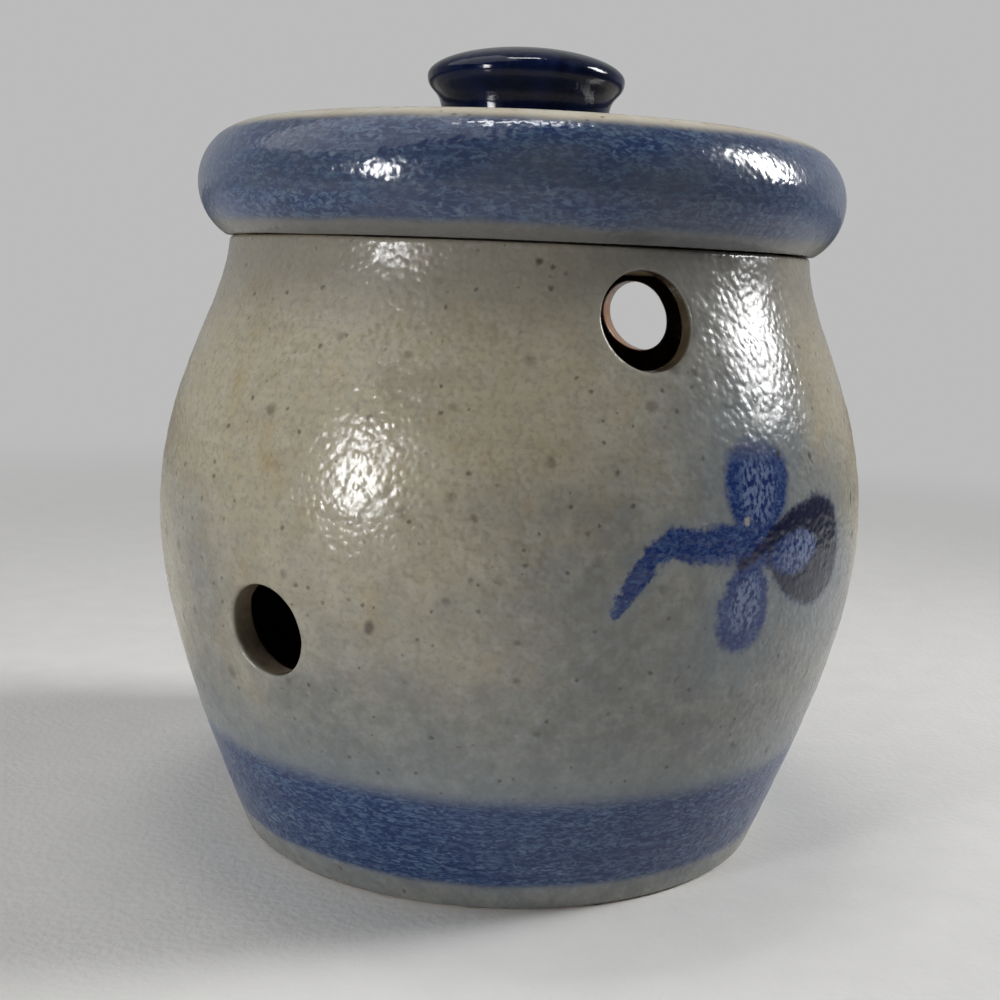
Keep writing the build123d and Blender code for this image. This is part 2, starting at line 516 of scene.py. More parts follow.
print("jar outline has", len(jar_outline()), "points")

# %% [markdown]
# ## Turning a pot
#
# A potter turns clay against the hand; here a chain of vertices is turned about the axis.  The chain
# starts as a plane that is merged to a single vertex, which is then extruded from point to point of the
# outline.  Spin sweeps it once round.  The first and last rings lie on top of each other and the poles
# are pinched, so doubles are merged, and then all faces are turned to point outwards.

# %% Turn an outline into a pot


def turn(name, outline):
    """Spin a half-section of (radius, height) pairs into a closed piece."""
    bpy.ops.object.select_all(action="DESELECT")
    bpy.ops.mesh.primitive_plane_add(size=MM)
    piece = bpy.context.object
    piece.name = piece.data.name = name
    bpy.ops.object.mode_set(mode="EDIT")
    bpy.ops.mesh.select_mode(type="VERT")
    bpy.ops.mesh.select_all(action="SELECT")
    bpy.ops.mesh.merge(type="CENTER")
    bpy.ops.transform.translate(value=(outline[0][0], 0, outline[0][1]))
    for (radius, height), (next_radius, next_height) in zip(outline, outline[1:]):
        step = (next_radius - radius, 0, next_height - height)
        bpy.ops.mesh.extrude_vertices_move(TRANSFORM_OT_translate={"value": step})
    bpy.ops.mesh.select_all(action="SELECT")
    bpy.ops.mesh.spin(steps=TURN_STEPS, angle=tau, center=(0, 0, 0), axis=(0, 0, 1))
    bpy.ops.mesh.select_all(action="SELECT")
    bpy.ops.mesh.remove_doubles(threshold=0.01 * MM)
    bpy.ops.mesh.normals_make_consistent(inside=False)
    bpy.ops.object.mode_set(mode="OBJECT")
    print(name, "has", len(piece.data.polygons), "faces after turning")
    return piece


jar = turn("thrown_jar", jar_outline())

# %% [markdown]
# ## Air vents
#
# The vents let the garlic breathe.  On the real jar each is cut through the leather-hard wall with a
# round tube, and its edge is softened with a wet sponge.  A boolean would leave a fringe of thin
# triangles on the glossy wall, which the highlights would show.  So the wall is opened by hand: a block
# of faces is deleted, outside and inside, and the border of each opening is extruded inwards until it
# is a true circle that lies on the wall.  Then the two circles are bridged through the wall and their
# edges are bevelled.

# %% Find the vents
VENT_EDGE = 0.65 * MM
VENT_COLLAR = 0.95 * MM   # ring of faces round the vent, wide enough for the bevel
VENT_BLOCK = 9.0 * MM     # half the height and width of the block of faces that is taken out
FLOOR_CLEAR = 40 * MM     # radius beyond which a face belongs to the wall and not to the floor
TOUCHING = 0.002 * MM     # vertices this near a circle or a wall count as on it


def box_middle(opening):
    """The middle of an opening's box."""
    return sum((Vector(corner) for corner in opening["box_m"]), Vector()) / 2


openings = frame["record"]["physics"]["openings"]
vents = [(bearing_of(box_middle(one)), box_middle(one).z) for one in openings if "vent" in one["name"]]
first_bearing, first_height = vents[0]
in_the_wall = outer_wall(first_height) - 2 * MM
bore_start = in_direction(first_bearing) * in_the_wall + Vector((0, 0, first_height))
bore_side = frame["nodes"]["jar_body"].ray_cast(bore_start, in_direction(first_bearing + 90))[1]
VENT_RADIUS = (bore_side - bore_start).length
print("vents of radius", round(VENT_RADIUS / MM, 2), "mm")
print("bearings and heights:", [(round(bearing), round(height / MM, 1)) for bearing, height in vents])

# %% Work round a vent


def from_axis(vent, point):
    """How far a point lies across and above the vent's axis."""
    turn_away = radians(bearing_of(point) - vent[0])
    return hypot(point[0], point[1]) * sin(turn_away), point[2] - vent[1]


def onto_wall(wall, vent, across, above):
    """The point of the wall that is this far across and above the vent's axis."""
    radius = wall(vent[1] + above)
    bearing = vent[0] + degrees(asin(across / radius))
    return in_direction(bearing) * radius + Vector((0, 0, vent[1] + above))


def in_front(vent, point):
    """Whether a point is on the vent's side of the pot."""
    return cos(radians(bearing_of(point) - vent[0])) > 0.5


def is_on_circle(vent, edge):
    """Whether an edge lies on the vent's cylinder, on its side of the pot."""
    ends = [hypot(*from_axis(vent, vertex.co)) for vertex in edge.verts]
    return in_front(vent, edge.verts[0].co) and max(abs(end - VENT_RADIUS) for end in ends) < TOUCHING


def is_on_wall(edge):
    """Whether an edge lies on the outer or the inner skin of the wall."""
    def gap(point):
        return min(abs(hypot(point.x, point.y) - wall(point.z)) for wall in (thrown_outside, thrown_inside))

    return max(gap(vertex.co) for vertex in edge.verts) < TOUCHING


def selected_loop(edit_mesh, vent):
    """The selected vertices, in order round the vent's axis, each with its angle."""
    chosen = [vertex for vertex in edit_mesh.verts if vertex.select]
    angles = {vertex: atan2(*reversed(from_axis(vent, vertex.co))) for vertex in chosen}
    return sorted(((angle, vertex) for vertex, angle in angles.items()), key=lambda pair: pair[0])


# %% Cut a vent


def open_block(jar, vent):
    """Delete a block of faces round the vent, in the outer and the inner wall."""
    half_turn = degrees(asin(VENT_BLOCK / inner_wall(vent[1])))
    edit_mesh = bmesh.from_edit_mesh(jar.data)
    for face in edit_mesh.faces:
        middle = face.calc_center_median()
        beside = abs((bearing_of(middle) - vent[0] + 180) % 360 - 180) < half_turn
        level = abs(middle.z - vent[1]) < VENT_BLOCK
        face.select_set(beside and level and hypot(middle.x, middle.y) > FLOOR_CLEAR)
    bmesh.update_edit_mesh(jar.data)
    bpy.ops.mesh.delete(type="FACE")


def draw_in(jar, vent, wall, is_outer):
    """Extrude the border of one opening inwards, first to a collar and then to the vent's circle."""
    bpy.ops.mesh.select_mode(type="EDGE")
    edit_mesh = bmesh.from_edit_mesh(jar.data)
    middle_of_wall = (outer_wall(vent[1]) + inner_wall(vent[1])) / 2
    for edge in edit_mesh.edges:
        middle = (edge.verts[0].co + edge.verts[1].co) / 2
        halfway = middle_of_wall + outer_wall(middle.z) - outer_wall(vent[1])
        on_this_skin = (hypot(middle.x, middle.y) > halfway) == is_outer
        edge.select_set(edge.is_boundary and in_front(vent, middle) and on_this_skin)
    bmesh.update_edit_mesh(jar.data)
    for radius in (VENT_RADIUS + VENT_COLLAR, VENT_RADIUS):
        bpy.ops.mesh.extrude_region_move(MESH_OT_extrude_region={"use_normal_flip": False})
        edit_mesh = bmesh.from_edit_mesh(jar.data)
        loop = selected_loop(edit_mesh, vent)
        even = [tau * index / len(loop) for index in range(len(loop))]
        first = sum(angle - share for (angle, _), share in zip(loop, even)) / len(loop)
        for (_, vertex), share in zip(loop, even):
            across, above = radius * cos(first + share), radius * sin(first + share)
            vertex.co = onto_wall(wall, vent, across, above)
        bmesh.update_edit_mesh(jar.data)


def select_circles(jar, vent):
    """Select the vent's circles, outside and inside."""
    edit_mesh = bmesh.from_edit_mesh(jar.data)
    for edge in edit_mesh.edges:
        edge.select_set(edge.is_boundary and is_on_circle(vent, edge))
    bmesh.update_edit_mesh(jar.data)


def cut_vent(jar, vent):
    """Open, round off, bridge and soften one vent."""
    bpy.ops.object.mode_set(mode="EDIT")
    bpy.ops.mesh.select_mode(type="FACE")
    bpy.ops.mesh.select_all(action="DESELECT")
    open_block(jar, vent)
    draw_in(jar, vent, thrown_outside, True)
    draw_in(jar, vent, thrown_inside, False)
    select_circles(jar, vent)
    bpy.ops.mesh.bridge_edge_loops(number_cuts=4, interpolation="LINEAR")
    edit_mesh = bmesh.from_edit_mesh(jar.data)
    for edge in edit_mesh.edges:
        edge.select_set(is_on_circle(vent, edge) and is_on_wall(edge))
    bmesh.update_edit_mesh(jar.data)
    bpy.ops.mesh.bevel(offset=VENT_EDGE, segments=5, affect="EDGES", clamp_overlap=True)
    bpy.ops.object.mode_set(mode="OBJECT")


for vent in vents:
    cut_vent(jar, vent)
print("jar has", len(jar.data.polygons), "faces with its vents")

# %% [markdown]
# ## Unevenness
#
# Nothing made by hand is perfectly round.  The Displace modifier presses the surface in by up to a
# fifth of a millimetre with a cloud texture that is about as coarse as a fingertip.  It can't be
# measured by eye, but it bends the long highlights, and without it the pot looks machined.

# %% Press the clay in a little
TOUCH_DEPTH = 0.2 * MM
TOUCH_SIZE = 24 * MM
SHARP_ANGLE = 38          # degrees; an edge that turns by more is shaded sharp


def apply_modifiers(piece):
    """Apply every modifier of a piece."""
    bpy.ops.object.select_all(action="DESELECT")
    piece.select_set(True)
    bpy.context.view_layer.objects.active = piece
    for modifier in list(piece.modifiers):
        bpy.ops.object.modifier_apply(modifier=modifier.name)


def touch_by_hand(piece, depth):
    """Press the surface in unevenly, and shade it smooth except at real edges."""
    clouds = bpy.data.textures.new(piece.name + "_touch", "CLOUDS")
    clouds.noise_scale = TOUCH_SIZE
    clouds.noise_depth = 2
    press = piece.modifiers.new("press", "DISPLACE")
    press.texture = clouds
    press.texture_coords = "LOCAL"
    press.mid_level = 0
    press.strength = -depth
    apply_modifiers(piece)
    bpy.ops.object.shade_smooth_by_angle(angle=radians(SHARP_ANGLE))
    print(piece.name, "pressed in by up to", round(depth / MM, 2), "mm")


touch_by_hand(jar, TOUCH_DEPTH)

# %% [markdown]
# ## The lid
#
# The lid is thrown upside down as a shallow bowl, then trimmed: a hollow crown, a fat rolled edge that
# overhangs the rim, a flat seat and a short flange that keeps it in place.  Probes feel its outline
# from several sides: up from inside for the ceiling, outwards for the hollow, towards the roll's own
# centre for the roll, and down from above for the crown.

# %% Turn the lid
LID_EDGE = 0.6 * MM
AIM_FROM = 60 * MM        # how far out a probe starts that is aimed at a centre
FLANGE_EDGE = 0.7 * MM
CROWN_RINGS = 5.2 * MM    # from one turning ridge on the crown to the next
CROWN_RIPPLE = 0.14 * MM
LANDING = 17 * MM         # radius of the crown's flat middle, where the knob stands
HOLLOW_REACH = 43 * MM    # radius to which the ceiling is felt
LID_LOW, LID_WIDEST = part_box("lid")[0].z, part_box("lid")[1].x
ROLL_CENTRE = (LID_WIDEST - 10 * MM, jar_top + 9.2 * MM)
EDGE_CENTRE = (LID_WIDEST - 5.2 * MM, jar_top + LID_EDGE)


def ripple(radius):
    """How deep the trimming tool went into the crown; it leaves the knob's landing flat."""
    depth = CROWN_RIPPLE * (0.5 - 0.5 * cos(tau * radius / CROWN_RINGS))
    return depth * min(max((radius - LANDING) / (3 * MM), 0), 1)


def aimed(node, centre, angles):
    """Points of the surface round a centre, felt from outside at these angles."""
    for angle in angles:
        away = (cos(radians(angle)), sin(radians(angle)))
        start = (centre[0] + away[0] * AIM_FROM, centre[1] + away[1] * AIM_FROM)
        yield probe(node, start, (-away[0], -away[1]))


def lid_outline():
    """The lid's half-section, from the axis under its ceiling to the axis on its crown."""
    inside = jar_top + 3 * MM
    flange_middle = LID_LOW + 2 * MM
    flange_inside = probe("lid", (0, flange_middle), (1, 0))[0]
    flange_outside = probe("lid", (OUTSIDE, flange_middle), (-1, 0))[0]

    ceiling = [probe("lid", (radius, inside), (0, 1)) for radius in spaced(0, HOLLOW_REACH, 16)]
    hollow = [probe("lid", (0, jar_top + height * MM), (1, 0)) for height in spaced(13, 0.4, 14)]
    lip_in = arc((flange_inside + FLANGE_EDGE, LID_LOW + FLANGE_EDGE), FLANGE_EDGE, 180, 270, 5)
    lip_out = arc((flange_outside - FLANGE_EDGE, LID_LOW + FLANGE_EDGE), FLANGE_EDGE, 270, 360, 5)
    seat = [(radius, jar_top) for radius in spaced(flange_outside, EDGE_CENTRE[0], 5)]
    edge = list(aimed("lid", EDGE_CENTRE, spaced(-80, -38, 4)))
    roll = list(aimed("lid", ROLL_CENTRE, spaced(-57, 66, 42)))
    crown = []
    for radius in spaced(roll[-1][0] - 1 * MM, 0, 52):
        height = probe("lid", (radius, ABOVE), (0, -1))[1]
        crown.append((radius, height - ripple(radius)))
    return ceiling + hollow + lip_in + lip_out + seat + edge + roll + crown


lid = turn("thrown_lid", lid_outline())
touch_by_hand(lid, TOUCH_DEPTH)

# %% [markdown]
# ## The knob
#
# The knob is a thrown button with a waist.  Before firing it is pressed onto the lid with slip, and the
# slip that is squeezed out leaves a tiny bead at its foot, which the glaze then fills.  Its side is
# felt from outside, level by level, and its top from above.

# %% Turn the knob
SLIP_BEAD = 0.9 * MM
BEAD_HEIGHT = 0.55 * MM   # over which the bead dies away
DOME_DROP = 2.4 * MM      # below the top, where the dome is too level to be felt from the side


def knob_outline():
    """The knob's half-section, from the axis on the crown to the axis on its top."""
    low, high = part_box("knob")[0].z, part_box("knob")[1].z
    side = []
    for height in spaced(low + 0.05 * MM, high - DOME_DROP, 34):
        radius = probe("knob", (OUTSIDE, height), (-1, 0))[0]
        bead = SLIP_BEAD * np.exp(-(height - low) / BEAD_HEIGHT)
        side.append((radius + float(bead), height))
    top = [probe("knob", (radius, ABOVE), (0, -1)) for radius in spaced(side[-1][0] - 0.4 * MM, 0, 24)]
    foot = [(radius, low + 0.02 * MM) for radius in spaced(0, side[0][0] - 0.05 * MM, 4)]
    return foot + side + top


knob = turn("thrown_knob", knob_outline())
touch_by_hand(knob, TOUCH_DEPTH * 0.6)

# %% [markdown]
# ## How deep in the wall
#
# The finish changes from the outside of the wall to its inside: salt glaze, bare clay at the cut, brown
# liner.  A vertex attribute, `wall_depth`, says how far each vertex lies from the outer skin (0) to the
# inner one (1), and the materials read it.  It is worked out from the same wall curves that made the
# shape.

# %% Mark the depth on jar and lid
OUTER_SKIN = 2.5 * MM     # low down, a vertex this near the outer wall is on the outer skin
HOLLOW_RADIUS = 8 * MM    # of the hollow inside the roll, about the roll's centre
HOLLOW_TOP = jar_top + 15.6 * MM
ROLL_WIDTH = 12 * MM


def mark_depth(piece, depth_at):
    """Write wall_depth on every vertex from its radius and height."""
    depths = [depth_at(hypot(vertex.co.x, vertex.co.y), vertex.co.z) for vertex in piece.data.vertices]
    attribute = piece.data.attributes.new("wall_depth", "FLOAT", "POINT")
    attribute.data.foreach_set("value", np.clip(depths, 0, 1).astype(np.float32))
    print(piece.name, "is", round(100 * float(np.mean(np.array(depths) > 0.5))), "% inner skin")


def jar_depth(radius, height):
    """0 on the outer skin and underneath, 1 on the inner skin and the floor inside."""
    if height < FLOOR_INSIDE - 1 * MM:
        return 0.0
    if height < FLOOR_INSIDE + FLOOR_CORNER:
        return 1.0 if radius < outer_wall(height) - OUTER_SKIN else 0.0
    return (outer_wall(height) - radius) / (outer_wall(height) - inner_wall(height))


def lid_depth(radius, height):
    """0 on roll and crown, 0.5 on the bare seat and flange, 1 in the hollow."""
    if height <= jar_top + 0.05 * MM:
        return 0.5
    from_roll = hypot(radius - ROLL_CENTRE[0], height - ROLL_CENTRE[1])
    under_crown = height < HOLLOW_TOP and radius < LID_WIDEST - ROLL_WIDTH
    return 1.0 if from_roll < HOLLOW_RADIUS or under_crown else 0.0


mark_depth(jar, jar_depth)
mark_depth(lid, lid_depth)

# %% [markdown]
# ## Salt glaze: the ground
#
# Salt is thrown into the hot kiln, and its vapour glazes the clay itself.  The skin draws together into
# pebbles like an orange's, with grains about a millimetre across, and iron in the clay leaves small
# dark freckles.  The skin is thin, so the grey clay shows through it, warm where the flame passed and
# cool where it didn't.  The cool grey is also much darker, and that darkness is painted shade, low down
# and on the front between the two lit sides, so the warm glow also stands for the lit sides.  The peel
# comes from rounded cells whose borders are shaken by noise, and the freckles from cells that each hold
# a dot by chance.
#
# The ground is laid in this order: the fire's glow with its cloudy border, and a weaker glow on the far
# flank, which together set painted light against the cool grey's painted shade; ochre and smoke in
# clouds; a pale mottle; a bluish bloom where the flame didn't pass; faint streaks, fine specks, and dark
# pores between the grains.

# %% Raise the orange peel
PEEL_SIZE = 1.2 * MM


def wobbled(finish, size, reach):
    """The place, moved about a little by noise, so that cells lose their straight borders."""
    noise = finish.put("TexNoise", out="Color", Vector=finish.place, Scale=1 / size, Detail=1.0)
    place = finish.put("VectorMath", operation="MULTIPLY_ADD")
    for index, value in enumerate((noise, (reach,) * 3, finish.place)):
        finish.fill(place.node.inputs[index], value)
    return place


def orange_peel(finish, size=PEEL_SIZE):
    """The pebbled skin as a relief from 0 to 1, high in the middle of each grain."""
    place = wobbled(finish, 2.2 * MM, 0.35 * MM)
    grains = finish.cells(size, place=place, feature="SMOOTH_F1", Smoothness=0.4)
    dimples = finish.step(finish.grain(size * 1.5, 1.5, seed=1.0), 0.3, 0.7, 0.0, 0.55)
    fine = finish.grain(0.6 * MM, 1.0)
    relief = finish.plus(finish.step(grains, 0.75, 0.05, 0.0, 0.55), dimples)
    return finish.plus(relief, finish.times(fine, 0.10))


print("orange peel grains are", round(PEEL_SIZE / MM, 2), "mm across")

# %% Sprinkle the iron
IRON = tone(62, 50, 40)
SMALL_FRECKLES = (2.0 * MM, 0.60 * MM, 0.54, 0.013)     # spacing, largest dot, share of cells, seed
LARGE_FRECKLES = (3.3 * MM, 1.4 * MM, 0.20, 0.037)


def freckles(finish, spacing, largest, share, seed):
    """Soft dark dots: a cell may hold one, of its own size. Gives the cover from 0 to 1."""
    shaken = wobbled(finish, 1.1 * MM, 0.7 * MM)
    place = finish.put("Mapping", Vector=shaken, Location=(seed, seed / 2, seed / 3))
    distance, lot = finish.cells(spacing, out=("Distance", "Color"), place=place)
    chance = finish.put("SeparateColor", out="Red", Color=lot)
    size = finish.step(chance, 1 - share, 1.0, 0.001, largest / spacing)
    return finish.step(distance, size, finish.times(size, 0.2))


def add_freckles(finish, colour):
    """Sprinkle iron over a colour: small dots and larger, fainter ones."""
    small = finish.times(freckles(finish, *SMALL_FRECKLES), 0.66)
    large = finish.times(freckles(finish, *LARGE_FRECKLES), 0.46)
    return finish.blend(finish.maths("MAXIMUM", small, large), colour, IRON)


print("freckles in", SMALL_FRECKLES[2], "of the small cells and", LARGE_FRECKLES[2], "of the large ones")

# %% Mix the ground glaze
WARM_GREY = tone(166, 158, 136)
# the cool grey is partly a cooler glaze and partly painted shade, darker where the lamps reach less
COOL_GREY_AND_SHADE = tone(112, 113, 111)
OCHRE = tone(162, 143, 106)
SMOKE = tone(106, 104, 94)
PALE_MOTTLE = tone(174, 172, 160)
BLOOM = tone(150, 158, 160)
FLAME_SIDE = (-150, -100, 2, 36)     # bearings: the glow rises over the first two and fades over the last
FAR_FLANK = (44, 58, 92, 115)        # the same for the weaker glow
FLAME_BORDER = (34 * MM, 74 * MM)    # heights over which the glow comes on
FLANK_BORDER = (50 * MM, 76 * MM)
FLAME_TILT = -14 * MM                # the glow's lower border sinks by this much per radian
BORDER_DRIFT = 90 * MM               # how far the clouds carry the border up and down


def fire_side(finish, bearings):
    """1 between the middle two of four bearings, fading to 0 at the outer two."""
    rise_start, rise_end, fade_start, fade_end = (radians(bearing) for bearing in bearings)
    return finish.times(finish.step(finish.bearing, rise_start, rise_end),
                        finish.step(finish.bearing, fade_end, fade_start))


def fire_glow_and_lit_side(finish):
    """How warm the flame left the clay, from 0 to 1; where it is low, the cool grey also paints shade."""
    drift = finish.sway(BORDER_DRIFT, 26 * MM, 3.0, seed=2.0)
    tilted = finish.plus(drift, finish.times(finish.bearing, FLAME_TILT))
    flame = finish.step(finish.plus(finish.height, tilted), *FLAME_BORDER)
    flank = finish.step(finish.plus(finish.height, drift), *FLANK_BORDER)
    return finish.maths("MAXIMUM", finish.times(flame, fire_side(finish, FLAME_SIDE)),
                        finish.times(fire_side(finish, FAR_FLANK), flank))


def ground_glaze(finish, peel):
    """The colour of bare salt glaze, with painted shade in its darker cool grey."""
    warm_and_lit = fire_glow_and_lit_side(finish)
    colour = finish.blend(warm_and_lit, COOL_GREY_AND_SHADE, WARM_GREY)
    ochre = finish.step(finish.grain(7 * MM, 3.0, seed=3.5), 0.52, 0.72, 0.0, 0.6)
    colour = finish.blend(finish.times(ochre, warm_and_lit), colour, OCHRE)
    smoke = finish.grain(15 * MM, 4.0, seed=6.0)
    colour = finish.tinted(colour, SMOKE, smoke, 0.52, 0.72, 0.0, 0.22)
    mottle = finish.grain(3.2 * MM, 5.0, seed=5.0)
    colour = finish.tinted(colour, PALE_MOTTLE, mottle, 0.40, 0.66, 0.0, 0.26)
    bloom = finish.step(finish.grain(1.4 * MM, 3.0, seed=12.0), 0.44, 0.64, 0.0, 0.20)
    colour = finish.blend(finish.times(bloom, finish.minus(1.15, warm_and_lit)), colour, BLOOM)
    streaks = finish.grain(1.6 * MM, 2.0, place=finish.stretch(14.0, 0.6), seed=8.0)
    colour = finish.tinted(colour, SMOKE, streaks, 0.35, 0.6, 0.08, 0.0)
    specks = finish.grain(0.8 * MM, 3.0, seed=9.0)
    colour = finish.tinted(colour, SMOKE, specks, 0.52, 0.36, 0.0, 0.28)
    return finish.tinted(colour, SMOKE, peel, 0.6, 0.2, 0.0, 0.14)


print("the fire's glow runs from bearing", FLAME_SIDE[0], "to", FLAME_SIDE[-1])

# %% [markdown]
# ## Cobalt
#
# Cobalt slip is brushed on before the firing and comes out blue.  The salt skin lifts it into a
# worm-like pattern: deep blue lies in the hollows, and pale short flecks stand where the grains rise.
# Along the bands the brush has left long streaks.  One function makes that blue, and masks say where it
# lies.

# %% Mix the cobalt
DEEP_COBALT = tone(26, 45, 88)
MID_COBALT = tone(64, 88, 122)
PALE_FLECK = tone(116, 130, 148)


def cobalt_glaze(finish, peel, thickness=0.45, brushed=2.2, fleck=0.55 * MM):
    """Cobalt under salt glaze: the thicker, the darker; brushed draws its pattern out along the brush."""
    worms = finish.grain(fleck, 2.0, place=finish.stretch(brushed, 0.8), warp=1.0, seed=17.0)
    colour = finish.tinted(DEEP_COBALT, MID_COBALT, worms, 0.40, 0.58, 0.0, 1.15 - 0.5 * thickness)
    hollows = finish.step(peel, 0.15, 0.55, 0.4, 1.0)
    flecks = finish.times(finish.step(worms, 0.50, 0.72, 0.0, 1.0 - thickness), hollows)
    colour = finish.blend(flecks, colour, PALE_FLECK)
    pools = finish.grain(3.4 * MM, 3.0, place=finish.stretch(brushed, 1.0), seed=11.0)
    colour = finish.tinted(colour, DEEP_COBALT, pools, 0.42, 0.66, 0.0, 0.35)
    hairs = finish.grain(0.9 * MM, 2.0, place=finish.stretch(8.0 * brushed, 0.55), seed=14.0)
    return finish.tinted(colour, DEEP_COBALT, hairs, 0.50, 0.66, 0.0, 0.55)


def band(finish, low, high, low_feather, high_feather, ragged=0.8 * MM):
    """The cover of a painted band between two heights, with brushed edges."""
    wander = finish.sway(ragged * 2, 5 * MM, 4.0, place=finish.stretch(3.0, 1.0), seed=20.0)
    height = finish.plus(finish.height, wander)
    rise = finish.step(height, low - low_feather / 2, low + low_feather / 2)
    fall = finish.step(height, high + high_feather / 2, high - high_feather / 2)
    return finish.times(rise, fall)


print("deep cobalt is", tuple(round(part, 3) for part in DEEP_COBALT[:3]))

# %% [markdown]
# ## The brushed flower
#
# The jar carries one quick flower, made the way country potters have always made them: a few dabs of a
# loaded brush and a tail.  Each dab is an oval that is fuller at its outer end, where the brush was
# pressed down.  The cobalt gathers at its edge and stays thin in the middle, and a second dab over the
# right petal has turned nearly black.  The dabs are drawn in flat coordinates that are wrapped on the
# belly: across, which is the bearing times the belly's radius, and up, which is the height.

# %% Draw a dab and a stroke
BELLY_RADIUS = 60 * MM
HAND_TREMBLE = (2.6 * MM, 2.0 * MM)     # grain and reach
RAGGED_EDGE = (0.8 * MM, 1.8 * MM)


class Brush:
    """Flat coordinates on the belly, shaken a little, and the strokes that are painted in them."""

    def __init__(self, finish, tremble=1.0):
        self.finish = finish
        self.across = self.shaken(finish.times(finish.bearing, BELLY_RADIUS), 23.0, tremble)
        self.up = self.shaken(finish.height, 26.0, tremble)

    def shaken(self, value, seed, tremble):
        """A coordinate with the tremble of the hand and the ragged edge that the glaze's grains give."""
        for size, reach in (HAND_TREMBLE, RAGGED_EDGE):
            value = self.finish.plus(value, self.finish.sway(reach * tremble, size, 2.0, seed=seed))
        return value

    def moved(self, bearing, height):
        """Across and up, measured from a point of the wall."""
        across = self.finish.minus(self.across, radians(bearing) * BELLY_RADIUS)
        return across, self.finish.minus(self.up, height * MM)

    def dab(self, bearing, height, half_width, half_length, lean, taper=0.0):
        """How far out of an oval dab a point is: 1 is its edge. Taper fills out its far end."""
        f = self.finish
        across, up = self.moved(bearing, height)
        turn_cos, turn_sin = cos(radians(lean)), sin(radians(lean))
        along = f.plus(f.times(across, turn_sin), f.times(up, turn_cos))
        beside = f.minus(f.times(across, turn_cos), f.times(up, turn_sin))
        along = f.maths("DIVIDE", along, half_length * MM)
        fullness = f.maths("MAXIMUM", f.plus(f.times(along, taper), 1.0), 0.2)
        beside = f.maths("DIVIDE", f.maths("DIVIDE", beside, half_width * MM), fullness)
        return f.span(along, beside)

    def stroke(self, start, end, start_width, end_width):
        """How far out of a straight tapered stroke a point is: 1 is its edge."""
        f = self.finish
        across, up = self.moved(*start)
        run_across = radians(end[0] - start[0]) * BELLY_RADIUS
        run_up = (end[1] - start[1]) * MM
        along = f.plus(f.times(across, run_across), f.times(up, run_up))
        share = f.put("Clamp", Value=f.maths("DIVIDE", along, run_across ** 2 + run_up ** 2))
        off_across = f.minus(across, f.times(share, run_across))
        off_up = f.minus(up, f.times(share, run_up))
        half = f.put("MapRange", Value=share, To_Min=start_width / 2 * MM, To_Max=end_width / 2 * MM)
        return f.maths("DIVIDE", f.span(off_across, off_up), half)


print("one degree on the belly is", round(radians(1) * BELLY_RADIUS / MM, 2), "mm")

# %% Lay the flower out
PETALS = {                # bearing, height, half width, half length, lean, taper
    "top": (36.9, 65.6, 6.4, 7.8, 3, 0.35),
    "bottom": (34.9, 49.7, 4.8, 7.4, 182, 0.28),
    "right": (47.9, 55.9, 7.7, 10.2, 97, 0.28),
}
TAIL = [(38.0, 57.9), (33.0, 58.6), (27.5, 58.7), (22.4, 59.2), (19.2, 57.6), (15.0, 50.2)]
TAIL_WIDTHS = [6.0, 5.8, 5.2, 4.2, 3.0, 2.3]
THIN_PLACE = (44.4, 56.3, 3.2, 6.0, 86)     # where the second dab missed the right petal
HEART = [(33.4, 55.4), (36.6, 57.2), (39.0, 59.0)]
HEART_WIDTHS = [1.4, 2.0, 1.4]
UPPER_EDGE = [(39.2, 59.6), (44.5, 61.8), (50.0, 62.2), (53.6, 61.4)]
UPPER_EDGE_WIDTHS = [1.2, 2.4, 4.6, 3.6]
PINHOLE = (34.2, 61.6, 0.6, 0.7, 0)


def nearest(finish, distances):
    """The smallest of several distances."""
    least = distances[0]
    for distance in distances[1:]:
        least = finish.maths("MINIMUM", least, distance)
    return least


def drawn(brush, points, widths):
    """How far out of a chain of strokes a point is: 1 is its edge."""
    pairs = zip(points, points[1:], widths, widths[1:])
    return nearest(brush.finish, [brush.stroke(*pair) for pair in pairs])


print("the flower has", len(PETALS), "petals and a tail of", len(TAIL) - 1, "strokes")

# %% Paint the flower
WET_BLUE = tone(16, 36, 112)
THIN_BLUE = tone(24, 38, 92)
CURDLED_BLUE = tone(100, 116, 148)
BLUE_HAZE = tone(106, 118, 128)
PETAL_BLACK = tone(14, 18, 36)
EDGE_BLACK = tone(12, 16, 48)
HEART_BLACK = tone(25, 23, 48)
PINHOLE_CLAY = tone(172, 164, 152)


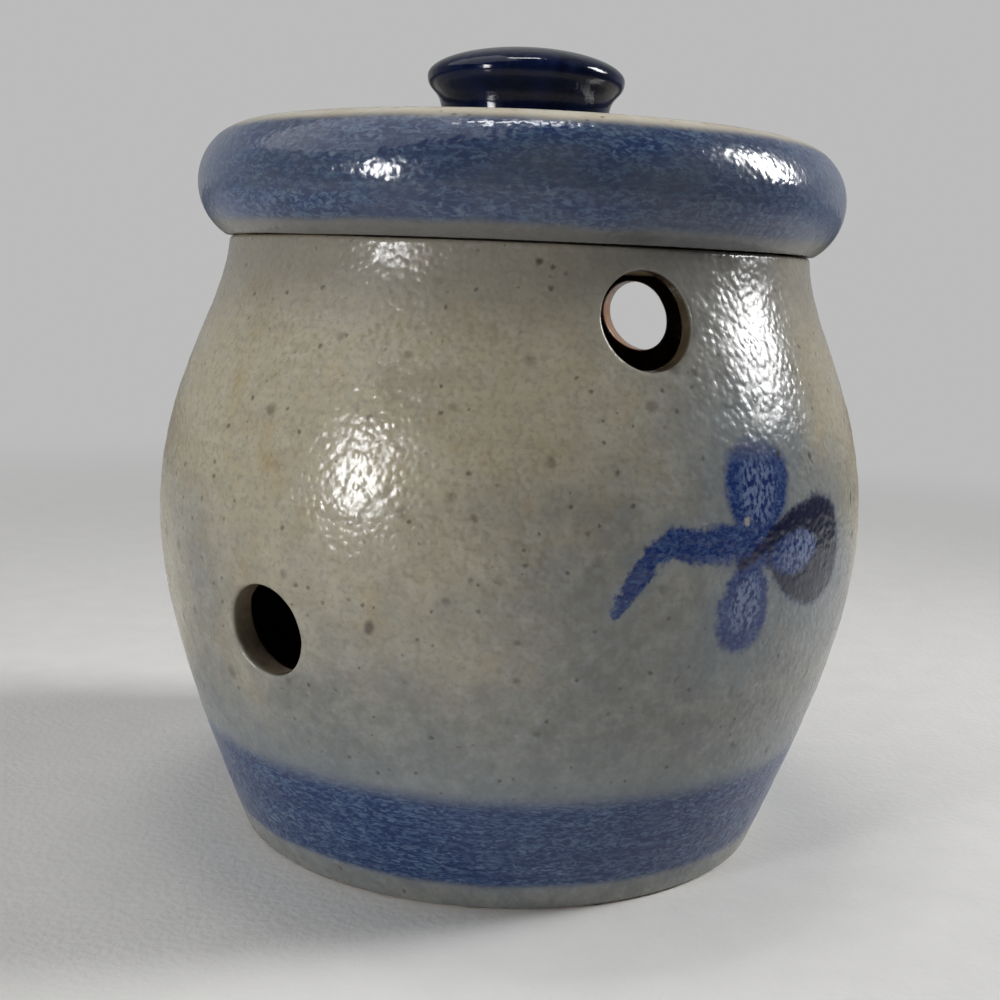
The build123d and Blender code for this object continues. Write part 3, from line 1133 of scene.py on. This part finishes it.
def paint_flower(finish, colour, peel):
    """Lay the flower over a colour. Gives the new colour and the flower's cover."""
    brush = Brush(finish)
    blossom = nearest(finish, [brush.dab(*petal) for petal in PETALS.values()])
    stem = drawn(brush, TAIL, TAIL_WIDTHS)
    haze = finish.times(finish.step(nearest(finish, [blossom, stem]), 2.6, 0.9), 0.42)
    colour = finish.blend(haze, colour, BLUE_HAZE)

    wet = finish.blend(0.3, cobalt_glaze(finish, peel, 0.6, 1.1, 0.8 * MM), WET_BLUE)
    stem_cover = finish.step(stem, 1.25, 0.7)
    colour = finish.blend(stem_cover, colour, wet)

    curdled = finish.grain(0.8 * MM, 2.0, place=finish.stretch(0.8, 1.3), seed=60.0)
    thin = finish.tinted(THIN_BLUE, CURDLED_BLUE, curdled, 0.40, 0.60)
    petal_colour = finish.tinted(thin, wet, blossom, 0.40, 0.80)
    fading = finish.step(finish.height, 73.5 * MM, 69 * MM, 0.45, 1.0)
    painted = finish.times(finish.step(blossom, 1.14, 0.84), fading)
    colour = finish.blend(painted, colour, petal_colour)

    second_dab = finish.times(finish.step(brush.dab(*PETALS["right"]), 1.06, 0.92),
                              finish.step(brush.dab(*THIN_PLACE), 0.75, 1.15, 0.0, 0.92))
    colour = finish.blend(second_dab, colour, PETAL_BLACK)
    edge = drawn(brush, UPPER_EDGE, UPPER_EDGE_WIDTHS)
    colour = finish.tinted(colour, EDGE_BLACK, edge, 1.4, 0.5, 0.0, 0.9)
    heart = drawn(brush, HEART, HEART_WIDTHS)
    colour = finish.tinted(colour, HEART_BLACK, heart, 1.5, 0.4, 0.0, 0.85)
    colour = finish.tinted(colour, PINHOLE_CLAY, brush.dab(*PINHOLE), 1.6, 0.6, 0.0, 0.7)
    return colour, finish.maths("MAXIMUM", painted, finish.times(stem_cover, fading))


print("wet cobalt is", tuple(round(part, 3) for part in WET_BLUE[:3]))

# %% [markdown]
# ## Liner and bare clay
#
# Salt vapour doesn't reach the inside of a closed jar, so the potter pours a brown slip glaze in and
# out again.  The seat, the foot ring and the cut of the vents stay nearly bare, and the fire toasts
# them.  Each cut's tone changes with its bearing: paler on the left, which is painted light, dark olive
# at the front, which is painted shade, and toasted from the right to the back.

# %% Mix liner and bare clay
LINER_BROWN = tone(62, 43, 31)
LINER_RED = tone(104, 73, 50)
PALE_CLAY = tone(172, 153, 128)
BROWN_CLAY = tone(152, 124, 97)
LIT_PALE_CUT = tone(132, 120, 102)
SHADED_OLIVE_CUT = tone(76, 65, 49)
BROWN_CUT = tone(96, 80, 64)
TOASTED_CUT = tone(166, 128, 104)


def liner_glaze(finish):
    """Glossy dark brown slip, thinner and redder here and there."""
    flow = finish.grain(7 * MM, 3.0, place=finish.stretch(1.0, 2.5), seed=30.0)
    return finish.tinted(LINER_BROWN, LINER_RED, flow, 0.35, 0.7)


def bare_clay(finish):
    """Toasted clay with fine grog."""
    toast = finish.grain(9 * MM, 4.0, seed=33.0)
    return add_freckles(finish, finish.tinted(PALE_CLAY, BROWN_CLAY, toast, 0.35, 0.65))


def cut_clay(finish):
    """The cut of the vents: pale with painted light on the left, olive with painted shade at the front,
    toasted from the right to the back.
    """
    # painted light and shade: the cut is paler on the left and a dark olive at the front
    colour = finish.tinted(LIT_PALE_CUT, SHADED_OLIVE_CUT, finish.bearing, radians(-20), radians(10))
    colour = finish.tinted(colour, BROWN_CUT, finish.grain(3 * MM, 3.0), 0.4, 0.7, 0.0, 0.4)
    return finish.tinted(colour, TOASTED_CUT, finish.bearing, radians(60), radians(120), 0.0, 0.8)


print("liner is", tuple(round(part, 3) for part in LINER_BROWN[:3]))

# %% [markdown]
# ## Finish of the jar
#
# Now the layers come together, from the ground up: the ground glaze, the bluish breath of cobalt that
# the vapour carries above the band, a neck that greys and darkens towards the rim, partly a greyer glaze
# and partly painted shade under the lid's overhang, the freckles, the band over a thin wash, the flower,
# and a few single specks.  Then the wall's depth picks the cut of the vents and the liner, and height
# alone picks the bare seat and foot ring.  The glaze is glossiest on the flower, where it is thickest,
# and the bare clay is dull.

# %% Glaze the jar
FOOT_BAND = (4.6 * MM, 19.9 * MM)
COBALT_BREATH = tone(118, 128, 134)
NECK_GREY_AND_SHADE = tone(112, 110, 106)
BAND_WASH = tone(94, 104, 134)
SPECKS = [                # bearing, height, half width, half length, lean
    (-18.2, 45.9, 0.75, 1.05, 10),
    (41.7, 70.6, 0.5, 0.6, 30),
    (49.6, 69.8, 0.5, 0.7, -20),
    (64.5, 61.9, 0.5, 1.0, 10),
    (66.1, 55.8, 0.5, 0.9, -10),
    (3.3, 96.4, 0.6, 0.5, 0),
]
JAR_RELIEF = 0.085 * MM


def glaze_jar():
    """Salt glaze, cobalt band, flower, liner and bare clay."""
    finish = Finish("jar_salt_glaze")
    peel = orange_peel(finish)
    colour = ground_glaze(finish, peel)
    breath = finish.times(finish.step(finish.height, 36 * MM, 15 * MM, 0.0, 0.55),
                          finish.step(finish.height, 3.5 * MM, 6.5 * MM, 0.35, 1.0))
    colour = finish.blend(breath, colour, COBALT_BREATH)
    # painted shade: the neck greys and darkens towards the rim, under the lid's overhang
    colour = finish.tinted(colour, NECK_GREY_AND_SHADE, finish.height, 82 * MM, 96 * MM, 0.0, 0.6)
    colour = add_freckles(finish, colour)
    wash = finish.times(band(finish, *FOOT_BAND, 4.0 * MM, 8.0 * MM), 0.4)
    colour = finish.blend(wash, colour, BAND_WASH)
    cover = band(finish, *FOOT_BAND, 1.4 * MM, 4.0 * MM)
    colour = finish.blend(cover, colour, cobalt_glaze(finish, peel))
    colour, flower = paint_flower(finish, colour, peel)
    brush = Brush(finish, 0.2)
    specks = nearest(finish, [brush.dab(*speck) for speck in SPECKS])
    colour = finish.tinted(colour, IRON, specks, 1.5, 0.4, 0.0, 0.75)

    depth = finish.put("Attribute", out="Fac", attribute_name="wall_depth")
    colour = finish.tinted(colour, cut_clay(finish), depth, 0.10, 0.32)
    colour = finish.tinted(colour, liner_glaze(finish), depth, 0.80, 0.97)
    under = finish.step(finish.height, 0.5 * MM, 0.1 * MM)
    seat = finish.step(finish.height, jar_top - 0.3 * MM, jar_top - 0.05 * MM)
    bare = finish.maths("MAXIMUM", under, seat)
    colour = finish.blend(bare, colour, bare_clay(finish))

    roughness = finish.step(finish.grain(6 * MM, 3.0, seed=44.0), 0.3, 0.7, 0.19, 0.28)
    roughness = finish.minus(roughness, finish.times(flower, 0.05))
    roughness = finish.maths("MAXIMUM", roughness, finish.times(bare, 0.75))
    return finish.wear(colour, roughness, peel, JAR_RELIEF)


def dress(piece, material):
    """Give a piece its one finish."""
    piece.data.materials.clear()
    piece.data.materials.append(material)
    print(piece.name, "wears", material.name)


dress(jar, glaze_jar())

# %% [markdown]
# ## Finish of the lid
#
# The roll is one broad band of cobalt.  It stops short of the lid's lower edge and ends where the crown
# begins, so a grey line frames it below and a beige disc above; the grey line is darkened with painted
# shade under the roll.  A greyish veil lies over the fullest part of the roll, and a paler lavender
# painted sheen on its sides.  The crown shows the rings of the turning tool, and at the knob's foot a
# dark ring.  A thin dark line on the right of the lid's lower edge is a painted reflection.  The seat
# and the flange are bare, and the hollow is lined.

# %% Colour the crown and the roll
PALE_BEIGE = tone(214, 208, 192)
TOASTED_BEIGE = tone(196, 182, 156)
GREY_VEIL = tone(84, 90, 97)
LAVENDER_SHEEN = tone(128, 140, 164)


def crown_beige(finish):
    """The crown's beige, with its rings and toasted clouds."""
    uneven = finish.plus(finish.radius, finish.times(finish.grain(9 * MM, 2.0, seed=66.0), 6 * MM))
    rings = finish.maths("SINE", finish.times(uneven, tau / CROWN_RINGS))
    toasted = finish.step(finish.grain(7 * MM, 5.0, seed=63.0), 0.36, 0.66, 0.0, 0.65)
    darker = finish.maths("MAXIMUM", finish.step(rings, -0.6, 1.0, 0.0, 0.35), toasted)
    return finish.blend(darker, PALE_BEIGE, TOASTED_BEIGE)


def roll_blue(finish, peel):
    """The roll's cobalt under a greyish veil, with a painted lavender sheen on its sides."""
    fullest = finish.times(finish.step(finish.height, 103.5 * MM, 107 * MM),
                           finish.step(finish.height, 114 * MM, 110 * MM))
    clouds = finish.grain(5 * MM, 4.0, place=finish.stretch(3.0, 1.0), seed=21.0)
    veil = finish.plus(finish.step(clouds, 0.35, 0.65, 0.05, 0.4), finish.times(fullest, 0.25))
    colour = finish.blend(veil, cobalt_glaze(finish, peel, 0.45, 1.6, 0.8 * MM), GREY_VEIL)
    # painted sheen: the sides of the roll, seen at a glance from the front, are paler and lavender
    sheen_aside = finish.maths("ABSOLUTE", finish.bearing)
    return finish.tinted(colour, LAVENDER_SHEEN, sheen_aside, radians(36), radians(66), 0.0, 0.32)


print("crown rings are", round(CROWN_RINGS / MM, 1), "mm apart")

# %% Glaze the lid
LID_BAND = (101.1 * MM, 115.2 * MM)
LIP_GREY_AND_SHADE = tone(94, 96, 100)
KNOB_FOOT_DARK = tone(30, 36, 62)
# points of a painted reflection: bearing and height
DARK_REFLECTION_LINE = [(67.0, 99.6), (71.0, 101.2), (74.5, 102.6)]
DARK_REFLECTION_LINE_WIDTHS = [0.5, 0.8, 0.4]
LID_RELIEF = 0.065 * MM


def glaze_lid():
    """Salt glaze with a cobalt roll, bare seat and flange, lined hollow."""
    finish = Finish("lid_salt_glaze")
    peel = orange_peel(finish)
    colour = ground_glaze(finish, peel)
    crown = finish.step(finish.height, 114 * MM, 116.5 * MM, 0.0, 0.85)
    colour = add_freckles(finish, finish.blend(crown, colour, crown_beige(finish)))
    # painted shade: the grey strip under the roll is darkened, as it faces down
    colour = finish.tinted(colour, LIP_GREY_AND_SHADE, finish.height, 103 * MM, 101.5 * MM, 0.0, 0.8)
    # a dark ring round the knob's foot, on the crown
    knob_foot_ring = finish.step(finish.radius, 23 * MM, 18 * MM, 0.0, 0.85)
    colour = finish.blend(finish.times(knob_foot_ring, crown), colour, KNOB_FOOT_DARK)
    cover = band(finish, *LID_BAND, 1.4 * MM, 1.4 * MM, 0.7 * MM)
    colour = finish.blend(cover, colour, roll_blue(finish, peel))
    # painted reflection: a thin dark line on the right of the lid's lower edge
    dark_reflection = drawn(Brush(finish, 0.3), DARK_REFLECTION_LINE, DARK_REFLECTION_LINE_WIDTHS)
    colour = finish.tinted(colour, IRON, dark_reflection, 1.6, 0.5, 0.0, 0.75)

    depth = finish.put("Attribute", out="Fac", attribute_name="wall_depth")
    bare = finish.step(depth, 0.2, 0.5)
    colour = finish.blend(bare, colour, bare_clay(finish))
    lined = finish.step(depth, 0.6, 0.9)
    colour = finish.blend(lined, colour, liner_glaze(finish))

    roughness = finish.step(finish.grain(6 * MM, 3.0, seed=47.0), 0.3, 0.7, 0.13, 0.21)
    dull = finish.times(finish.minus(bare, lined), 0.7)
    return finish.wear(colour, finish.maths("MAXIMUM", roughness, dull), peel, LID_RELIEF)


dress(lid, glaze_lid())

# %% [markdown]
# ## Finish of the knob
#
# The knob was dipped in thick cobalt, which ran smooth and nearly black.  It has hardly any orange
# peel: a slow ripple, a thinner, bluer rim with streaks of painted highlight in it, and a greyer line
# where the slip meets the crown.

# %% Glaze the knob
KNOB_BLACK = tone(6, 12, 32)
KNOB_BLUE = tone(12, 22, 54)
THIN_RIM_AND_SHEEN = tone(44, 56, 88)
SLIP_GREY = tone(60, 62, 74)
KNOB_RELIEF = 0.10 * MM
KNOB_ROUGHNESS = 0.10
KNOB_IOR = 1.36


def glaze_knob():
    """Thick glossy blue-black."""
    finish = Finish("knob_cobalt_gloss")
    low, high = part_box("knob")[0].z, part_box("knob")[1].z
    colour = finish.tinted(KNOB_BLACK, KNOB_BLUE, finish.grain(5 * MM, 3.0, seed=50.0), 0.35, 0.7)
    # partly thinner glaze and partly painted highlight: lighter streaks on the knob's upper rim
    rim = finish.step(finish.height, high - 6.5 * MM, high - 3.2 * MM)
    thinned_and_glinting = finish.step(finish.grain(1.6 * MM, 2.0, seed=53.0), 0.45, 0.75, 0.0, 0.4)
    colour = finish.blend(finish.times(rim, thinned_and_glinting), colour, THIN_RIM_AND_SHEEN)
    colour = finish.tinted(colour, SLIP_GREY, finish.height, low + 0.9 * MM, low + 0.1 * MM, 0.0, 0.2)
    peel = finish.times(orange_peel(finish, 1.6 * MM), 0.15)
    relief = finish.plus(finish.grain(3.5 * MM, 2.0, seed=56.0), peel)
    return finish.wear(colour, KNOB_ROUGHNESS, relief, KNOB_RELIEF, KNOB_IOR)


dress(knob, glaze_knob())

# %% [markdown]
# ## Put the pieces on their bodies
#
# Each dressed piece stands for the solid it was measured from and rides on the same body.  The knob
# rides with the lid, because it is fired to it.

# %% Ride and replace
for piece, body, node, slot in (
    (jar, "jar", "jar_body", "jar_glaze"),
    (lid, "lid", "lid", "lid_glaze"),
    (knob, "lid", "knob", "knob_glaze"),
):
    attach(piece, body)
    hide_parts(node)
    print(piece.name, "rides on", body, "and stands for", node)
